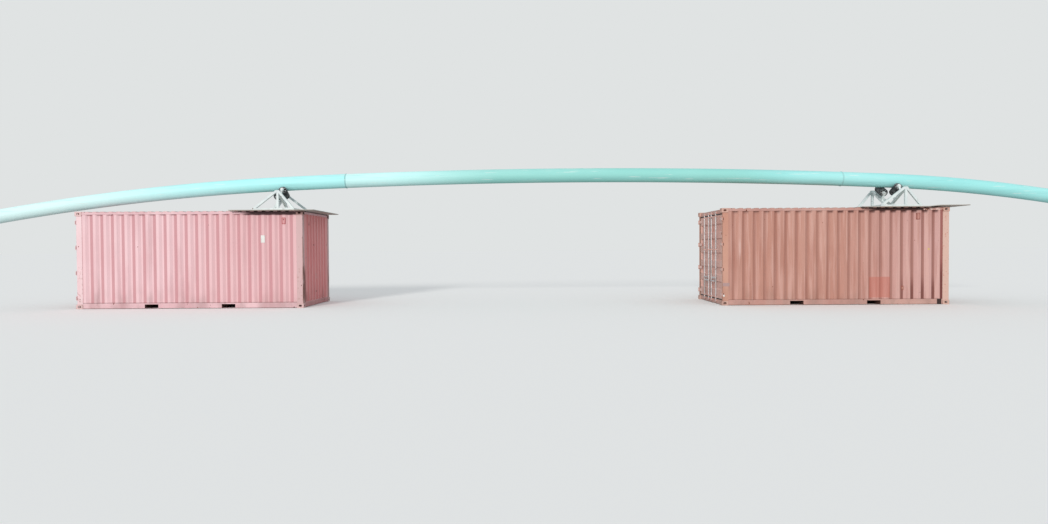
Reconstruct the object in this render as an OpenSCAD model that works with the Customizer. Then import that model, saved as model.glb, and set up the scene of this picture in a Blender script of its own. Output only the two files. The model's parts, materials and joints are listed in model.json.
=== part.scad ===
// Raised pipe crossing: a large plastic pipe carried over a roadway
// on two shipping containers, each with a staggered V-roller stand.
// X runs along the pipe, Y away from the viewer, Z up from the ground.

/* [Crossing layout] */
// Clear roadway between the two containers
road_gap = 11130; // [8000:10:14000]
// Left stand's centre, in from the road end of its container
left_setback = 850; // [700:10:3000]
// Right stand's centre, in from the outer end of its container
right_setback = 1188; // [700:1:3000]
// Front frames' face, back from the containers' near side
stand_inset = 170; // [100:10:600]

/* [Pipe] */
// Outside diameter of the pipe
pipe_d = 388.6; // [315:0.1:450]
// Wall of the pipe
pipe_wall = 21.6; // [12:0.1:40]
// Radius of the pipe's curve between the stands
span_radius = 181400; // [120000:100:400000]
// Radius of its droop beyond the left stand
left_droop_radius = 64000; // [40000:100:200000]
// Radius of its droop beyond the right stand
right_droop_radius = 41800; // [30000:100:200000]
// Length of pipe past the left stand
left_overrun = 8080; // [3000:10:10000]
// Length of pipe past the right stand
right_overrun = 4650; // [2500:10:8000]
// Left fusion joint, past the left stand
joint_offset = 1810; // [600:10:3000]
// Length of one full pipe
full_length = 13716; // [9000:1:15500]
// Height of the fusion bead above the pipe
bead_h = 7; // [3:0.5:12]

/* [Containers] */
// Length over the corner castings
box_l = 6058; // [5500:1:6500]
// Width over the corner castings
box_w = 2438; // [2200:1:2600]
// Height over the corner castings
box_h = 2591; // [2400:1:2896]
// Corner casting along the container
cast_l = 178; // [170:1:200]
// Corner casting across the container
cast_w = 162; // [150:1:180]
// Corner casting height
cast_h = 118; // [110:1:140]
// Wall of a corner casting
cast_wall = 28; // [20:1:32]
// Thickness of the frame steel
frame_t = 6; // [4:0.5:8]
// Thickness of the corrugated sheet
sheet_t = 2; // [1.5:0.1:4]
// Height of the bottom side rail
sill_h = 145; // [120:1:170]
// Size of the square top rail
top_rail = 60; // [50:1:80]
// Side wall's outer flat of one corrugation
side_flat = 72; // [60:1:90]
// Side wall's sloping part of one corrugation
side_slope = 68; // [40:1:80]
// Depth of the side wall's corrugation
side_depth = 36; // [20:1:45]
// End wall's outer flat of one corrugation
end_flat = 110; // [90:1:120]
// End wall's sloping part of one corrugation
end_slope = 18; // [10:1:40]
// Depth of the end wall's corrugation
end_depth = 45; // [20:1:50]
// Roof's flat of one corrugation
roof_flat = 91; // [70:1:110]
// Roof's sloping part of one corrugation
roof_slope = 13.5; // [10:0.5:30]
// Depth of the roof's corrugation
roof_depth = 20; // [10:1:30]
// Thickness of the floor boards
floor_t = 28; // [20:1:40]
// Height of the floor cross members
cross_h = 118; // [90:1:130]
// Spacing of the floor cross members
cross_pitch = 306; // [250:1:500]
// Width of a forklift pocket
pocket_w = 360; // [300:1:400]
// Height of a forklift pocket
pocket_h = 98; // [80:1:110]
// Distance between the forklift pockets' centres
pocket_pitch = 2050; // [1600:10:2300]

/* [Doors] */
// Thickness of a door leaf
leaf_t = 50; // [40:1:60]
// Door's face, back from the castings' faces
leaf_inset = 48; // [44:1:60]
// Width of the door posts
post_w = 100; // [80:1:120]
// Gap round a leaf
leaf_gap = 8; // [6:1:14]
// Height of the door sill and header
door_beam_h = 130; // [119:1:160]
// Number of sunk ribs across a leaf
leaf_ribs = 5; // [3:1:7]
// Diameter of a lock rod
rod_d = 34; // [26:1:38]
// Outer lock rod, in from the container's side
rod_out = 640; // [450:5:700]
// Inner lock rod, in from the leaf's free edge
rod_in = 135; // [95:5:265]
// Height of the lock handles
handle_z = 650; // [500:10:1400]
// Length of a lock handle
handle_l = 330; // [250:5:380]
// Hinge pin's diameter
pin_d = 16; // [12:1:18]
// Number of hinges on a leaf
hinge_count = 4; // [2:1:5]

/* [Boards under the stands] */
// Thickness of the boards
board_t = 19; // [12:1:30]
// Width of one whole board
board_w = 1220; // [900:10:1250]
// Boards' reach past the containers' near side
board_overhang = 150; // [40:10:300]
// Size of the boards front to back
board_l = 2440; // [1900:10:2440]
// Left boards' size along the pipe
left_board_w = 2240; // [1500:10:2500]
// Left boards' reach past the road end of their container
left_board_reach = 330; // [0:10:700]
// Right boards' size along the pipe
right_board_w = 2820; // [1500:10:3000]
// Right boards' reach past the outer end of their container
right_board_reach = 450; // [0:10:700]

/* [Roller stands] */
// Length of a stand's base along the pipe
base_l = 1116; // [900:2:1400]
// Distance between the front and rear frames' centres
frame_gap = 1280; // [1200:10:1500]
// Size of the square tube
tube = 60; // [40:1:80]
// Height of the frames' apex above the boards
apex_h = 541; // [450:1:700]
// Posts, beams and rollers sit this far off the stand's centre
stagger = 120; // [118:1:160]
// Tilt of the rollers' axles
tilt = 30; // [20:1:40]
// Diameter of a roller
roller_d = 226; // [180:1:230]
// Length of a roller
roller_l = 300; // [200:5:320]
// Thickness of a roller's tyre
tyre_t = 22; // [14:1:32]
// Number of spokes at each end of a roller
spokes = 6; // [4:1:8]
// Diameter of a roller's axle
axle_d = 40; // [25:1:50]
// Roller's axle above the beam's centre line
axle_rise = 232; // [200:1:300]

/* [Hidden] */
// Clearance between the pipe and a roller
seat_gap = 0.6;
// Groove between the two beads of a joint
bead_gap = 1;
// Running clearance round an axle or pin
run_gap = 0.08;
// Overshoot of a cutting solid past what it cuts
cut = 1;
// Gap between two boards
board_gap = 6;
// Steps round the pipe's arcs, the pipe, the rollers and the small round parts
arc_fn = 2880;
pipe_fn = 96;
roller_fn = 64;
round_fn = 48;

// Stand: bearings stand off the roller's ends, and their uprights are slimmer than head and beam
bearing_gap = 12;
bearing_w = 40;
bearing_d = 2.4 * axle_d;
upright_w = tube - 8;
upright_t = bearing_w - 12;
// Stand: depth and thickness of the hollow, its spokes and the rings on the axle
hub_d = 2 * axle_d;
hollow = 60;
spoke_t = 14;
spoke_inset = 10;
ring_d = 1.4 * axle_d;
ring_t = 6;
ring_gap = 2;

// Containers: frame's faces stand back from the castings' sides, feet and tops
wall_inset = 12;
underside = 12;
roof_drop = roof_depth + sheet_t;
rail_top = box_h - roof_drop;
wall_top = rail_top - top_rail;
// Containers: slots of a casting, length and width
side_slot = [80, 51];
foot_slot = [124, 63];
// Containers: door post's face, and the folded edge of a plate
post_face = 31;
post_lip = 40;
// Containers: sections of the rails, and the sheet's face behind the frame's
rail_t = 5;
rail_flange = 48;
tube_t = 4;
sheet_inset = 2;
rail_out = wall_inset - tube_t;
lap_l = 20;
lap_y = rail_out + top_rail + sheet_inset;
// Containers: floor cross members and the plate over a fork pocket
cross_z = 20;
cross_t = 4;
cross_flange = 45;
cross_play = 22;
floor_inset = 50;
pocket_z = underside + rail_t;

// Doors: leaf between the posts, sill and header
leaf_y0 = post_w + leaf_gap;
leaf_z0 = max(door_beam_h, cast_h) + leaf_gap;
leaf_edge = (box_w - leaf_gap) / 2;
leaf_w = leaf_edge - leaf_y0;
leaf_h = box_h - 2 * leaf_z0;
stile = 60;
leaf_rail = 90;
panel_t = 3;
rib = 30;
rib_flat = (leaf_h - 2 * leaf_rail - 2 * leaf_ribs * rib) / (2 * leaf_ribs + 1);
rib_pitch = 2 * (rib_flat + rib);
// Doors: hinges, with their pins proud of the castings' faces
pin_x = 14;
pin_y = 6;
lug_wall = 4;
lug_h = 22;
lug_gap = 1;
pin_head = 2;
blade_t = 8;
blade_h = 70;
blade_x = pin_x + 4;
blade_y = post_w + 12;
blade_l = 150;
hinge_end = 150;
hinge_step = (leaf_h - 2 * hinge_end) / (hinge_count - 1);
lug_reach = pin_d / 2 + lug_wall - pin_y;
// Doors: lock rods in their guides, with a collar between the keepers at each end
guide_wall = 8;
guide_h = 30;
guide_end = leaf_rail / 2;
guide_mid_z = leaf_z0 + leaf_rail + ceil(leaf_ribs / 2) * rib_pitch + rib_flat / 2;
rod_x = leaf_inset - rod_d / 2 - guide_wall;
inner_rod_y = leaf_edge - rod_in;
rod_end = 60;
collar_d = rod_d + 6;
collar_h = 40;
keeper_end = 90;
keeper_gap = 27;
keeper_t = 10;
keeper_h = 50;
keeper_x = 8;
handle_t = 8;
handle_w = 30;
handle_tail = 20;
handle_step = 45;

// Pipe line: slope at the seats, and the arcs past them
pipe_r = pipe_d / 2;
roller_r = roller_d / 2;
seat_span = left_setback + road_gap + box_l - right_setback;
seat_slope = asin(seat_span / 2 / span_radius);
left_arc = left_overrun / left_droop_radius * 180 / PI;
right_arc = right_overrun / right_droop_radius * 180 / PI;
left_end_slope = seat_slope + left_arc;
right_end_slope = seat_slope + right_arc;
left_tip = left_droop_radius * (sin(seat_slope) - sin(left_end_slope)) - pipe_r * sin(left_end_slope);
right_tip = seat_span + right_droop_radius * (sin(right_end_slope) - sin(seat_slope))
  + pipe_r * sin(right_end_slope);

// Joints: the left one as an angle past the left seat, the right one before or past the right seat
left_joint_a = joint_offset / span_radius * 180 / PI;
right_joint_run = joint_offset + full_length - 2 * seat_slope * PI / 180 * span_radius;
right_joint_radius = right_joint_run < 0 ? span_radius : right_droop_radius;
right_joint_a = right_joint_run / right_joint_radius * 180 / PI;

// Places in the whole object's frame, with its origin midway along and across at the ground
left_seat_x = -(left_tip + right_tip) / 2;
right_seat_x = left_seat_x + seat_span;
left_box_x = left_seat_x + left_setback - box_l;
right_box_x = right_seat_x + right_setback - box_l;
near_y = -(box_w + lug_reach - board_overhang) / 2;
pipe_y = near_y + stand_inset + (frame_gap + tube) / 2;

// Seat: each roller's axle stands off the pipe by both radii and the clearance, on a skew
seat_reach = pipe_r + roller_r + seat_gap;
skew = sqrt(1 - pow(sin(seat_slope) * sin(tilt), 2));
beam_z = apex_h - tube / 2;
seat_h = beam_z - frame_gap / 2 * tan(tilt) + axle_rise / cos(tilt)
  + seat_reach * skew / cos(seat_slope) / cos(tilt);
seat_z = box_h + board_t + seat_h;
stand_shift = stagger * tan(seat_slope) / tan(tilt);
roller_mid_y = -seat_reach * sin(tilt);
roller_mid_z = seat_h - seat_reach * skew / cos(seat_slope) * cos(tilt);

// Frames and plain helpers
module at_left_box() { translate([left_box_x, near_y, 0]) children(); }
module at_right_box() { translate([right_box_x, near_y, 0]) children(); }
module at_left_stand() { translate([left_seat_x, pipe_y + stand_shift, box_h + board_t]) children(); }
module at_right_stand() { translate([right_seat_x, pipe_y - stand_shift, box_h + board_t]) children(); }
module turned() { rotate([0, 0, 180]) children(); }
module far_side() { translate([0, box_w, 0]) mirror([0, 1, 0]) children(); }
module closed_end() { translate([box_l, 0, 0]) mirror([1, 0, 0]) children(); }
module both_sides() {
  children();
  far_side() children();
}

// Pipe
module pipe_section() {
  difference() {
    circle(r = pipe_r, $fn = pipe_fn);
    circle(r = pipe_r - pipe_wall, $fn = pipe_fn);
  }
}
// Frame on the pipe's axis at each seat, with X along the pipe and Z square to it
module at_left_seat() { translate([left_seat_x, pipe_y, seat_z]) rotate([0, -seat_slope, 0]) children(); }
module at_right_seat() { translate([right_seat_x, pipe_y, seat_z]) rotate([0, seat_slope, 0]) children(); }
// Bend of pipe that drops away on both sides of the frame's origin, from angle a0 to a1
module bend(radius, a0, a1) {
  translate([0, 0, -radius]) rotate([-90, -90, 0])
    rotate_extrude(start = a0, angle = a1 - a0, $fn = arc_fn) translate([radius, 0]) pipe_section();
}
// Frame on the bend's axis at angle a
module on_bend(radius, a) {
  translate([radius * sin(a), 0, radius * (cos(a) - 1)]) rotate([0, a, 0]) children();
}
// Fusion bead round the pipe, on one side of the frame's YZ plane
module pipe_bead(dir) {
  rotate([0, dir * 90, 0]) translate([0, 0, bead_gap]) linear_extrude(2 * bead_h) difference() {
    circle(r = pipe_r + bead_h, $fn = pipe_fn);
    circle(r = pipe_r - pipe_wall / 2, $fn = pipe_fn);
  }
}
module pipe_left_length() {
  color("paleturquoise") at_left_seat() {
    bend(span_radius, 0, left_joint_a);
    bend(left_droop_radius, -left_arc, 0);
    on_bend(span_radius, left_joint_a) pipe_bead(-1);
  }
}
module pipe_middle_length() {
  start_a = left_joint_a - 2 * seat_slope;
  color("powderblue") at_right_seat() {
    bend(span_radius, start_a, min(right_joint_a, 0));
    if (right_joint_a > 0) bend(right_droop_radius, 0, right_joint_a);
    on_bend(span_radius, start_a) pipe_bead(1);
    on_bend(right_joint_radius, right_joint_a) pipe_bead(-1);
  }
}
module pipe_right_length() {
  color("paleturquoise") at_right_seat() {
    if (right_joint_a < 0) bend(span_radius, right_joint_a, 0);
    bend(right_droop_radius, max(right_joint_a, 0), right_arc);
    on_bend(right_joint_radius, right_joint_a) pipe_bead(1);
  }
}

// Boards, laid side by side from the container's middle out, with the last one cut to fit
module boards(x0, w) {
  for (x = [0 : board_w : w - board_gap])
    translate([x0 + x, near_y - board_overhang, box_h])
      cube([min(board_w - board_gap, w - x), board_l, board_t]);
}
module left_boards() {
  color("tan") boards(left_box_x + box_l + left_board_reach - left_board_w, left_board_w);
}
module right_boards() {
  color("tan") boards(right_box_x + box_l + right_board_reach - right_board_w, right_board_w);
}

// Roller stands, seen from the near side with the front half's parts at +stagger
module stand_base() {
  color("gainsboro") {
    for (s = [-1, 1]) {
      translate([-base_l / 2, s * frame_gap / 2 - tube / 2, 0]) cube([base_l, tube, tube]);
      translate([s * (base_l - tube) / 2 - tube / 2, -frame_gap / 2, 0]) cube([tube, frame_gap, tube]);
    }
    translate([-base_l / 2, -tube / 2, 0]) cube([base_l, tube, tube]);
  }
}
// Width along X of a leg that leans by run over the frame's height
function leg_w(run) = tube * sqrt(run * run + pow(apex_h - tube, 2)) / (apex_h - tube);
// One leg of a frame, drawn upright in the frame's plane
module leg(foot_x) {
  half = leg_w(stagger - foot_x) / 2;
  polygon([
    [foot_x - half, tube],
    [foot_x + half, tube],
    [stagger + half, apex_h],
    [stagger - half, apex_h]
  ]);
}
module stand_frame() {
  color("whitesmoke") translate([0, (tube - frame_gap) / 2, 0]) rotate([90, 0, 0]) linear_extrude(tube) {
    leg((leg_w(stagger + base_l / 2) - base_l) / 2);
    leg((base_l - leg_w(base_l / 2 - stagger)) / 2);
    leg(stagger);
  }
}
// Height of a roller beam's centre line at y
function beam_line(y) = beam_z - (y + frame_gap / 2) * tan(tilt);
// Beam under one roller, from the frame's apex down to its post on the base's centre rail
module roller_beam() {
  in_y = (tube - frame_gap) / 2;
  half = tube / 2 / cos(tilt);
  translate([stagger, 0, 0]) rotate([90, 0, 90]) linear_extrude(tube, center = true) polygon([
    [in_y, beam_line(in_y) + half],
    [tube / 2, beam_line(tube / 2) + half],
    [tube / 2, tube],
    [-tube / 2, tube],
    [-tube / 2, beam_line(-tube / 2) - half],
    [in_y, beam_line(in_y) - half]
  ]);
  for (s = [-1, 1]) bearing(s);
}
// Frame at the middle of the front roller, with Z along its axle
module at_roller() {
  translate([stagger, roller_mid_y, roller_mid_z]) rotate([90 - tilt, 0, 0]) children();
}
// Upright with a round head that holds one end of the axle
module bearing(s) {
  at_roller() translate([0, 0, s * (roller_l / 2 + bearing_gap + bearing_w / 2)]) difference() {
    union() {
      cylinder(d = bearing_d, h = bearing_w, center = true, $fn = round_fn);
      translate([-upright_w / 2, -axle_rise, -upright_t / 2]) cube([upright_w, axle_rise, upright_t]);
    }
    cylinder(r = axle_d / 2 + run_gap, h = 2 * bearing_w, center = true, $fn = round_fn);
  }
}
module stand_beams() {
  color("gainsboro") {
    roller_beam();
    turned() roller_beam();
  }
}
// Rubber-faced roller with hollow, spoked ends, on an axle with a ring outside each bearing
module roller() {
  axle_l = roller_l + 2 * (bearing_gap + bearing_w + ring_gap + ring_t);
  color("dimgray") at_roller() {
    difference() {
      cylinder(r = roller_r, h = roller_l, center = true, $fn = roller_fn);
      for (s = [-1, 1]) translate([0, 0, s * roller_l / 2])
        cylinder(r = roller_r - tyre_t, h = 2 * hollow, center = true, $fn = roller_fn);
    }
    for (a = [0 : 360 / spokes : 359]) rotate([0, 0, a])
      translate([0, -spoke_t / 2, spoke_inset - roller_l / 2])
        cube([roller_r - tyre_t / 2, spoke_t, roller_l - 2 * spoke_inset]);
    cylinder(d = hub_d, h = roller_l + bearing_gap / 2, center = true, $fn = round_fn);
    cylinder(d = axle_d, h = axle_l, center = true, $fn = round_fn);
    for (s = [-1, 1]) translate([0, 0, s * (axle_l - ring_t) / 2])
      cylinder(d = ring_d, h = ring_t, center = true, $fn = round_fn);
  }
}
module left_stand_base() { at_left_stand() stand_base(); }
module left_stand_front_frame() { at_left_stand() stand_frame(); }
module left_stand_rear_frame() { at_left_stand() turned() stand_frame(); }
module left_stand_roller_beams() { at_left_stand() stand_beams(); }
module left_stand_front_roller() { at_left_stand() roller(); }
module left_stand_rear_roller() { at_left_stand() turned() roller(); }
module right_stand_base() { at_right_stand() stand_base(); }
module right_stand_front_frame() { at_right_stand() stand_frame(); }
module right_stand_rear_frame() { at_right_stand() turned() stand_frame(); }
module right_stand_roller_beams() { at_right_stand() stand_beams(); }
module right_stand_front_roller() { at_right_stand() roller(); }
module right_stand_rear_roller() { at_right_stand() turned() roller(); }

// Container, with its door end at x = 0 and its closed end at x = box_l
module slot(size) {
  for (s = [-1, 1]) translate([s * (size[0] - size[1]) / 2, 0, 0])
    cylinder(d = size[1], h = 3 * cast_wall, center = true, $fn = round_fn);
  cube([size[0] - size[1], size[1], 3 * cast_wall], center = true);
}
module casting(slot_z) {
  difference() {
    cube([cast_l, cast_w, cast_h]);
    translate([cast_wall, cast_wall, cast_wall])
      cube([cast_l - 2 * cast_wall, cast_w - 2 * cast_wall, cast_h - 2 * cast_wall]);
    translate([cast_l / 2, 0, cast_h / 2]) rotate([90, 0, 0]) slot(side_slot);
    translate([0, cast_w / 2, cast_h / 2]) rotate([90, 0, 90]) slot(side_slot);
    translate([cast_l / 2, cast_w / 2, slot_z]) slot(foot_slot);
  }
}
module castings() {
  both_sides() {
    casting(0);
    translate([0, 0, box_h - cast_h]) casting(cast_h);
    closed_end() casting(0);
    closed_end() translate([0, 0, box_h - cast_h]) casting(cast_h);
  }
}
// Door-end post: a box section with its front set back, drawn from above
module door_post() {
  translate([0, 0, cast_h]) linear_extrude(box_h - 2 * cast_h) difference() {
    translate([post_face, wall_inset]) square([cast_l - post_face, post_w - wall_inset]);
    translate([post_face + frame_t, wall_inset + frame_t])
      square([cast_l - post_face - 2 * frame_t, post_w - wall_inset - 2 * frame_t]);
  }
}
// Closed-end post: two plates at a right angle, each with a folded edge
module corner_post() {
  translate([0, 0, cast_h]) linear_extrude(box_h - 2 * cast_h) {
    translate([wall_inset, wall_inset]) square([cast_l - wall_inset, frame_t]);
    translate([wall_inset, wall_inset]) square([frame_t, cast_w - wall_inset]);
    translate([wall_inset, cast_w - frame_t]) square([post_lip, frame_t]);
    translate([cast_l - frame_t, wall_inset]) square([frame_t, post_lip]);
  }
}
module at_hinges() {
  for (i = [0 : hinge_count - 1]) translate([0, 0, leaf_z0 + hinge_end + i * hinge_step]) children();
}
// Pair of lugs with the pin that a hinge blade turns on
module hinge_lugs() {
  for (s = [-1, 1]) translate([pin_x, pin_y, s * (blade_h / 2 + lug_h / 2 + lug_gap) - lug_h / 2]) {
    cylinder(d = pin_d + 2 * lug_wall, h = lug_h, $fn = round_fn);
    cube([post_face + frame_t - pin_x, wall_inset + frame_t - pin_y, lug_h]);
  }
  translate([pin_x, pin_y, -blade_h / 2 - pin_head])
    cylinder(d = pin_d, h = blade_h + 2 * pin_head, $fn = round_fn);
}
module posts() {
  both_sides() {
    door_post();
    at_hinges() hinge_lugs();
    closed_end() corner_post();
  }
}
// Channel along X at the container's side, open inwards, from x = cast_l to the far casting
module bottom_rail() {
  run = box_l - 2 * cast_l;
  translate([cast_l, wall_inset, underside]) {
    cube([run, rail_t, sill_h - underside]);
    cube([run, rail_flange, rail_t]);
    translate([0, 0, sill_h - underside - rail_t]) cube([run, rail_flange, rail_t]);
  }
}
module at_pockets() {
  for (s = [-1, 1]) translate([(box_l + s * pocket_pitch) / 2, 0, 0]) children();
}
module top_rail_tube() {
  translate([cast_l, rail_out, wall_top]) difference() {
    cube([box_l - 2 * cast_l, top_rail, top_rail]);
    translate([-cut, tube_t, tube_t]) cube([box_l, top_rail - 2 * tube_t, top_rail - 2 * tube_t]);
  }
}
// Channel across the container between its castings, open inwards
module cross_channel(x, z0, z1, depth) {
  translate([x, cast_w, z0]) difference() {
    cube([depth, box_w - 2 * cast_w, z1 - z0]);
    translate([frame_t, -cut, frame_t]) cube([depth, box_w, z1 - z0 - 2 * frame_t]);
  }
}
// Plate from a header's flange to the castings' line, with a strip under the edge of the roof sheet
module header_plate(x) {
  if (x < cast_l) translate([x, cast_w, rail_top - frame_t]) cube([cast_l - x, box_w - 2 * cast_w, frame_t]);
  translate([cast_l, lap_y, rail_top - frame_t]) cube([lap_l, box_w - 2 * lap_y, frame_t]);
}
// Rails at the sides and ends, the bottom side ones with openings for the fork pockets
module rails() {
  both_sides() {
    top_rail_tube();
    difference() {
      bottom_rail();
      at_pockets() translate([-pocket_w / 2, wall_inset - cut, pocket_z])
        cube([pocket_w, rail_t + 2 * cut, pocket_h]);
    }
  }
  cross_channel(leaf_inset, underside, door_beam_h, cast_l - leaf_inset);
  cross_channel(leaf_inset, box_h - door_beam_h, rail_top, cast_l - leaf_inset);
  header_plate(cast_l);
  closed_end() {
    cross_channel(wall_inset, underside, sill_h, top_rail);
    cross_channel(wall_inset, wall_top, rail_top, top_rail);
    header_plate(wall_inset + top_rail);
  }
}
// Pairs of cheeks on sill and header, each with a lock rod's collar between them
module keepers() {
  both_sides() for (y = [rod_out, inner_rod_y]) for (z = [keeper_end, box_h - keeper_end]) for (s = [-1, 1])
    translate([keeper_x, y + s * (keeper_gap + keeper_t / 2) - keeper_t / 2, z - keeper_h / 2])
      cube([leaf_inset - keeper_x, keeper_t, keeper_h]);
}
// Corrugated sheet along X from 0 to run, with its outer flats at y = 0, drawn from above
function corrugation(flat, slope, depth) =
  [[0, 0], [flat, 0], [flat + slope, depth], [2 * flat + slope, depth]];
module corrugated(run, flat, slope, depth, high) {
  pitch = 2 * (flat + slope);
  n = floor((run - flat) / pitch);
  lead = (run - n * pitch - flat) / 2;
  ridges = [for (i = [0 : n - 1]) each [for (p = corrugation(flat, slope, depth)) p + [lead + i * pitch, 0]]];
  face = concat([[0, 0]], ridges, [[lead + n * pitch, 0], [run, 0]]);
  back = [for (i = [len(face) - 1 : -1 : 0]) face[i] + [0, sheet_t]];
  linear_extrude(high) polygon(concat(face, back));
}
module side_wall() {
  translate([cast_l, wall_inset + sheet_inset, sill_h])
    corrugated(box_l - 2 * cast_l, side_flat, side_slope, side_depth, wall_top - sill_h);
}
module end_wall() {
  translate([box_l - wall_inset - sheet_inset, cast_w, sill_h]) rotate([0, 0, 90])
    corrugated(box_w - 2 * cast_w, end_flat, end_slope, end_depth, wall_top - sill_h);
}
module roof() {
  translate([cast_l, box_w - wall_inset, box_h]) rotate([90, 0, 0]) mirror([0, 1, 0])
    corrugated(box_l - 2 * cast_l, roof_flat, roof_slope, roof_depth, box_w - 2 * wall_inset);
}
module floor_boards() {
  translate([cast_l, wall_inset + floor_inset, cross_z + cross_h])
    cube([box_l - cast_l - wall_inset - top_rail, box_w - 2 * (wall_inset + floor_inset), floor_t]);
}
// Channel under the floor, with its web at x = 0 and its flanges towards dir
module cross_member(dir) {
  flange_x = dir > 0 ? 0 : cross_t - cross_flange;
  translate([0, wall_inset + rail_t, cross_z]) {
    cube([cross_t, box_w - 2 * (wall_inset + rail_t), cross_h]);
    for (z = [0, cross_h - cross_t]) translate([flange_x, 0, z])
      cube([cross_flange, box_w - 2 * (wall_inset + rail_t), cross_t]);
  }
}
// Two members beside a fork pocket, with the plate over it
module pocket_tunnel() {
  translate([pocket_w / 2, 0, 0]) cross_member(1);
  translate([-pocket_w / 2 - cross_t, 0, 0]) cross_member(-1);
  translate([-pocket_w / 2, wall_inset + rail_t, cross_z + cross_h - cross_t])
    cube([pocket_w, box_w - 2 * (wall_inset + rail_t), cross_t]);
}
// Members between the bottom side rails, cut away at their ends where they would reach a rail's top flange
module cross_members() {
  n = floor((box_l - 2 * cast_l - cross_pitch) / cross_pitch);
  difference() {
    union() {
      for (i = [0 : n]) {
        off = (i - n / 2) * cross_pitch;
        if (abs(abs(off) - pocket_pitch / 2) > pocket_w / 2 + cross_flange + cross_play)
          translate([box_l / 2 + off, 0, 0]) cross_member(1);
      }
      at_pockets() pocket_tunnel();
    }
    both_sides() translate([0, 0, sill_h - rail_t]) cube([box_l, wall_inset + rail_flange, box_h]);
  }
}
// Door leaf for the near side: frame, ribbed panel, hinge blades and rod guides
module leaf() {
  difference() {
    translate([leaf_inset, leaf_y0, leaf_z0]) cube([leaf_t, leaf_w, leaf_h]);
    translate([leaf_inset - cut, leaf_y0 + stile, leaf_z0 + leaf_rail])
      cube([leaf_t + 2 * cut, leaf_w - 2 * stile, leaf_h - 2 * leaf_rail]);
  }
  translate([leaf_inset, leaf_y0 + stile, leaf_z0 + leaf_rail]) leaf_panel();
  at_hinges() hinge_blade();
  for (y = [rod_out, inner_rod_y]) for (z = [leaf_z0 + guide_end, guide_mid_z, leaf_z0 + leaf_h - guide_end])
    translate([rod_x, y, z]) rod_guide();
}
// Panel between the stiles, seen from the end with its ribs sunk in from x = 0
module leaf_panel() {
  ribs = [for (i = [0 : leaf_ribs - 1]) each
    [for (p = corrugation(rib_flat, rib, rib)) [p[1], p[0] + i * rib_pitch]]];
  face = concat(ribs, [[0, leaf_ribs * rib_pitch], [0, leaf_h - 2 * leaf_rail]]);
  back = [for (i = [len(face) - 1 : -1 : 0]) face[i] + [panel_t, 0]];
  rotate([90, 0, 0]) mirror([0, 0, 1]) linear_extrude(leaf_w - 2 * stile) polygon(concat(face, back));
}
// Blade from the pin's barrel across the post, back to the leaf and along its face
module hinge_blade() {
  translate([0, 0, -blade_h / 2]) difference() {
    union() {
      translate([pin_x, pin_y, 0]) cylinder(d = pin_d + 2 * lug_wall, h = blade_h, $fn = round_fn);
      translate([blade_x, pin_y, 0]) cube([blade_t, blade_y + blade_t - pin_y, blade_h]);
      translate([blade_x, blade_y, 0]) cube([leaf_inset - blade_x, blade_t, blade_h]);
      translate([leaf_inset - blade_t, blade_y, 0]) cube([blade_t, blade_l, blade_h]);
    }
    translate([pin_x, pin_y, -cut]) cylinder(r = pin_d / 2 + run_gap, h = blade_h + 2 * cut, $fn = round_fn);
  }
}
module rod_guide() {
  difference() {
    union() {
      cylinder(d = rod_d + 2 * guide_wall, h = guide_h, center = true, $fn = round_fn);
      translate([0, -rod_d / 2 - guide_wall, -guide_h / 2])
        cube([leaf_inset - rod_x, rod_d + 2 * guide_wall, guide_h]);
    }
    cylinder(r = rod_d / 2 + run_gap, h = guide_h + 2 * cut, center = true, $fn = round_fn);
  }
}
// Lock rod for the near side, with its handle towards dir
module lock_rod(y, dir) {
  arm_z = handle_z + dir * handle_step;
  translate([rod_x, y, 0]) {
    translate([0, 0, rod_end]) cylinder(d = rod_d, h = box_h - 2 * rod_end, $fn = round_fn);
    for (z = [keeper_end, box_h - keeper_end]) translate([0, 0, z])
      cylinder(d = collar_d, h = collar_h, center = true, $fn = round_fn);
    translate([-rod_d / 2 - handle_t, dir > 0 ? -handle_tail : handle_tail - handle_l, arm_z])
      cube([handle_t, handle_l, handle_w]);
    translate([-rod_d / 2 - cut, -handle_tail, arm_z]) cube([rod_d / 2, 2 * handle_tail, handle_w]);
  }
}

module left_castings() { color("lightcoral") at_left_box() castings(); }
module left_posts() { color("lightcoral") at_left_box() posts(); }
module left_rails() { color("indianred") at_left_box() rails(); }
module left_keepers() { color("sienna") at_left_box() keepers(); }
module left_near_wall() { color("rosybrown") at_left_box() side_wall(); }
module left_far_wall() { color("rosybrown") at_left_box() far_side() side_wall(); }
module left_end_wall() { color("indianred") at_left_box() end_wall(); }
module left_roof() { color("rosybrown") at_left_box() roof(); }
module left_floor() { color("peru") at_left_box() floor_boards(); }
module left_cross_members() { color("saddlebrown") at_left_box() cross_members(); }
module left_doors() { color("rosybrown") at_left_box() both_sides() leaf(); }
module left_lock_rods() {
  color("silver") at_left_box() both_sides() {
    lock_rod(rod_out, 1);
    lock_rod(inner_rod_y, -1);
  }
}
module right_castings() { color("salmon") at_right_box() castings(); }
module right_posts() { color("salmon") at_right_box() posts(); }
module right_rails() { color("indianred") at_right_box() rails(); }
module right_keepers() { color("sienna") at_right_box() keepers(); }
module right_near_wall() { color("darksalmon") at_right_box() side_wall(); }
module right_far_wall() { color("darksalmon") at_right_box() far_side() side_wall(); }
module right_end_wall() { color("indianred") at_right_box() end_wall(); }
module right_roof() { color("darksalmon") at_right_box() roof(); }
module right_floor() { color("peru") at_right_box() floor_boards(); }
module right_cross_members() { color("saddlebrown") at_right_box() cross_members(); }
module right_near_door() { color("indianred") at_right_box() leaf(); }
module right_far_door() { color("indianred") at_right_box() far_side() leaf(); }
module right_near_outer_rod() { color("silver") at_right_box() lock_rod(rod_out, 1); }
module right_near_inner_rod() { color("silver") at_right_box() lock_rod(inner_rod_y, -1); }
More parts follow.
